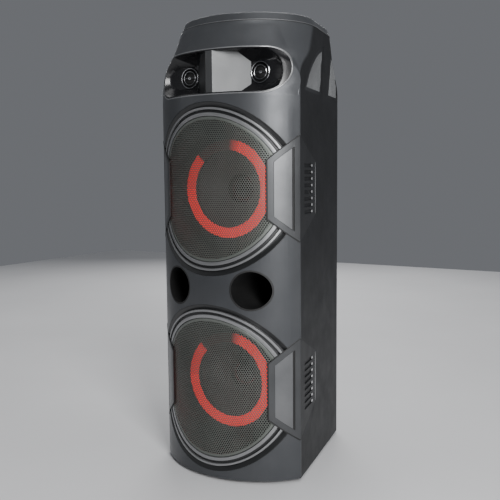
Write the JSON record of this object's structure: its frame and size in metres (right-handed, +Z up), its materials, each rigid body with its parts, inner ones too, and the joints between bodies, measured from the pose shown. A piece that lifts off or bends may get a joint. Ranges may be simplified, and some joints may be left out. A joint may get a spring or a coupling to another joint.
{
  "type": "party speaker",
  "caption": "Tall free-standing party speaker: tapered housing with a curved front, lit woofers, a wide tweeter horn, bass ports and a sunk top control panel.",
  "frame": {"origin": "middle of the footprint on the floor, under the rubber feet", "axes": "+Z up, the front with the grilles faces -Y, +X to the right seen from the front"},
  "size_m": [0.3, 0.3562, 0.846],
  "materials": {
    "shell": "fine satin moulding",
    "cap": "satin",
    "trim": "satin grey with a slight metal flake",
    "grille": "powder coated perforated steel",
    "cheek": "satin grey",
    "inlay": "brushed",
    "window": "ribbed grey",
    "horn": "gloss black",
    "tweeter": "black",
    "guard": "dark chrome",
    "port": "black",
    "light": "red light guide",
    "carrier": "black",
    "frame": "black",
    "cone": "pressed polypropylene",
    "surround": "soft",
    "spider": "resin dipped",
    "coil": "wound wire",
    "magnet": "ferrite",
    "steel": "zinc plated",
    "board": "fibreboard",
    "base": "black",
    "foot": "matt",
    "panel": "black",
    "display": "dark",
    "knob": "satin",
    "button": "soft touch",
    "plate": "black",
    "switch": "black",
    "circuit": "green circuit board",
    "battery": "wrapped cells",
    "screw": "black zinc"
  },
  "bodies": {
    "housing": {"front_shell": "shell", "rear_shell": "shell", "top_cap": "cap", "base_plate": "base", "rubber_feet": "foot", "driver_board": "board", "window_insert_left": "window", "window_insert_right": "window", "horn_flare": "horn", "tweeter_left": "tweeter", "tweeter_right": "tweeter", "tweeter_guard_left": "guard", "tweeter_guard_right": "guard", "port_tube_left": "port", "port_tube_right": "port", "control_panel": "panel", "display_window": "display", "connector_plate": "plate", "grab_cup": "plate", "amplifier_board": "circuit", "battery": "battery", "screws": "screw", "trim_ring_lower": "trim", "grille_lower": "grille", "led_ring_lower": "light", "led_carrier_lower": "carrier", "basket_lower": "frame", "magnet_lower": "magnet", "motor_steel_lower": "steel", "cheek_lower_left": "cheek", "cheek_lower_right": "cheek", "cheek_inlays_lower": "inlay", "trim_ring_upper": "trim", "grille_upper": "grille", "led_ring_upper": "light", "led_carrier_upper": "carrier", "basket_upper": "frame", "magnet_upper": "magnet", "motor_steel_upper": "steel", "cheek_upper_left": "cheek", "cheek_upper_right": "cheek", "cheek_inlays_upper": "inlay"},
    "cone_lower": {"cone_lower": "cone", "surround_lower": "surround", "dust_cap_lower": "cone", "voice_coil_lower": "coil", "spider_lower": "spider"},
    "cone_upper": {"cone_upper": "cone", "surround_upper": "surround", "dust_cap_upper": "cone", "voice_coil_upper": "coil", "spider_upper": "spider"},
    "volume_knob": {"volume_knob": "knob"},
    "mic_knob": {"mic_knob": "knob"},
    "echo_knob": {"echo_knob": "knob"},
    "button_previous": {"button_previous": "button"},
    "button_play": {"button_play": "button"},
    "button_next": {"button_next": "button"},
    "power_switch": {"power_switch": "switch"}
  },
  "joints": [
    {"name": "cone_slide_lower", "type": "slide", "parent": "housing", "child": "cone_lower", "axis": [0, -1, 0], "range_m": [-0.004, 0.004], "stiffness_N_per_m": 1800, "deforming": ["surround_lower", "spider_lower"]},
    {"name": "cone_slide_upper", "type": "slide", "parent": "housing", "child": "cone_upper", "axis": [0, -1, 0], "range_m": [-0.004, 0.004], "stiffness_N_per_m": 1800, "deforming": ["surround_upper", "spider_upper"]},
    {"name": "volume_knob_turn", "type": "hinge", "parent": "housing", "child": "volume_knob", "pos_m": [-0.048, -0.002, 0.836], "axis": [0, 0, 1], "range_deg": [-145, 145]},
    {"name": "mic_knob_turn", "type": "hinge", "parent": "housing", "child": "mic_knob", "pos_m": [0.008, -0.002, 0.836], "axis": [0, 0, 1], "range_deg": [-145, 145]},
    {"name": "echo_knob_turn", "type": "hinge", "parent": "housing", "child": "echo_knob", "pos_m": [0.044, -0.002, 0.836], "axis": [0, 0, 1], "range_deg": [-145, 145]},
    {"name": "button_previous_press", "type": "slide", "parent": "housing", "child": "button_previous", "axis": [0, 0, -1], "range_m": [0, 0.001], "stiffness_N_per_m": 600},
    {"name": "button_play_press", "type": "slide", "parent": "housing", "child": "button_play", "axis": [0, 0, -1], "range_m": [0, 0.001], "stiffness_N_per_m": 600},
    {"name": "button_next_press", "type": "slide", "parent": "housing", "child": "button_next", "axis": [0, 0, -1], "range_m": [0, 0.001], "stiffness_N_per_m": 600},
    {"name": "power_switch_rock", "type": "hinge", "parent": "housing", "child": "power_switch", "pos_m": [0.03, 0.173, 0.446], "axis": [1, 0, 0], "range_deg": [-8, 8]}
  ]
}
